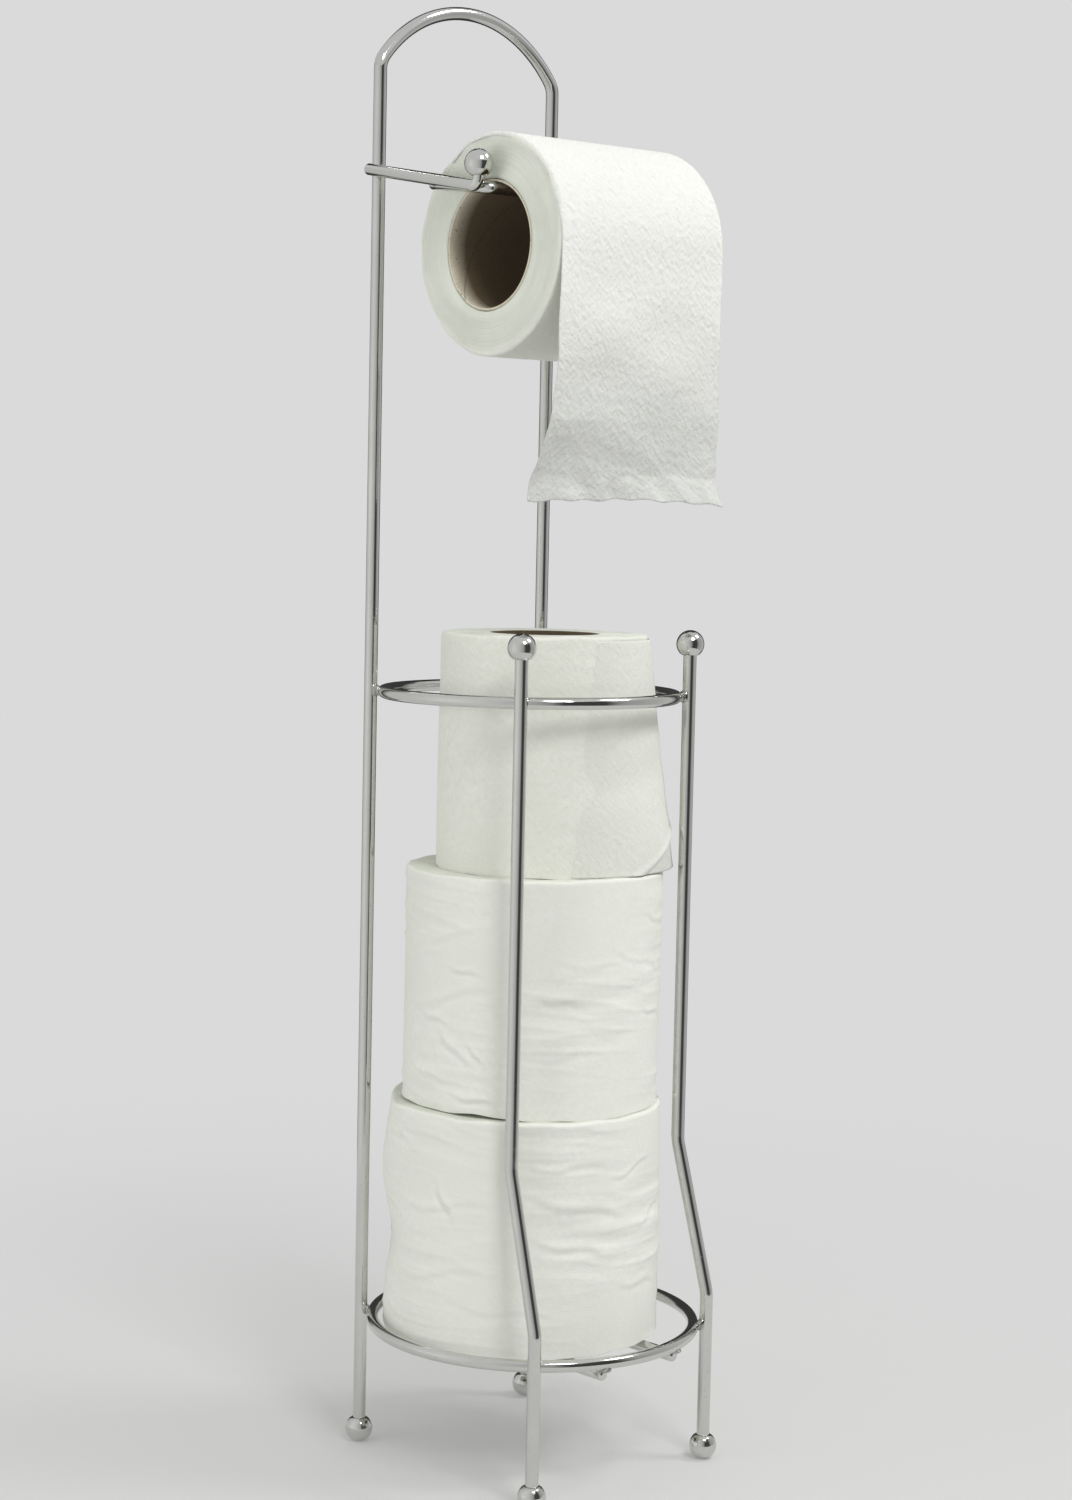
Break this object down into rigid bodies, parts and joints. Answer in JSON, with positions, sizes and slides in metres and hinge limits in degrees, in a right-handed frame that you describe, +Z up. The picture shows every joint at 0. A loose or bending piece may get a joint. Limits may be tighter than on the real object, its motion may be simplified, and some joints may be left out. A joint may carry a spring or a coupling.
{
  "type": "toilet paper stand",
  "caption": "Free-standing chrome wire stand with an arched handle, a side bar for the roll in use, and ringed legs that store spare rolls.",
  "frame": {"origin": "on the floor, at the middle of the object's footprint", "axes": "+Z up; +X to the right along the handle hoop and the roll bar; -Y is the front, where the loose sheet hangs"},
  "size_m": [0.1452, 0.148, 0.628],
  "materials": {
    "chrome": "polished",
    "paper": "matte",
    "cardboard": "matte"
  },
  "bodies": {
    "stand": {"rear_hoop": "chrome", "front_left_leg": "chrome", "front_right_leg": "chrome", "upper_ring": "chrome", "lower_ring": "chrome", "base_bar_left": "chrome", "base_bar_right": "chrome", "support_arm": "chrome", "roll_bar": "chrome", "arm_ball": "chrome", "roll_bar_ball": "chrome", "front_left_finial": "chrome", "front_right_finial": "chrome", "rear_left_foot": "chrome", "rear_right_foot": "chrome", "front_left_foot": "chrome", "front_right_foot": "chrome"},
    "hanging_sheet": {"loose_sheet": "paper"},
    "hanging_roll": {"hanging_roll_core": "cardboard", "hanging_roll_paper": "paper"},
    "bottom_roll": {"bottom_roll_core": "cardboard", "bottom_roll_paper": "paper"},
    "middle_roll": {"middle_roll_core": "cardboard", "middle_roll_paper": "paper"},
    "top_roll": {"top_roll_core": "cardboard", "top_roll_paper": "paper", "top_roll_loose_turn": "paper"}
  },
  "joints": [
    {"name": "roll_along_bar", "type": "slide", "parent": "stand", "child": "hanging_sheet", "axis": [1, 0, 0], "range_m": [0, 0.009]},
    {"name": "roll_turn", "type": "hinge", "parent": "hanging_sheet", "child": "hanging_roll", "pos_m": [-0.00355, -0.01442, 0.5185], "axis": [0.9989, -0.0471, 0], "continuous": true},
    {"name": "bottom_roll_lift", "type": "slide", "parent": "stand", "child": "bottom_roll", "axis": [0, 0, 1], "range_m": [0, 0.015]},
    {"name": "middle_roll_lift", "type": "slide", "parent": "bottom_roll", "child": "middle_roll", "axis": [0, 0, 1], "range_m": [0, 0.015]},
    {"name": "top_roll_lift", "type": "slide", "parent": "middle_roll", "child": "top_roll", "axis": [0, 0, 1], "range_m": [0, 0.08]}
  ]
}
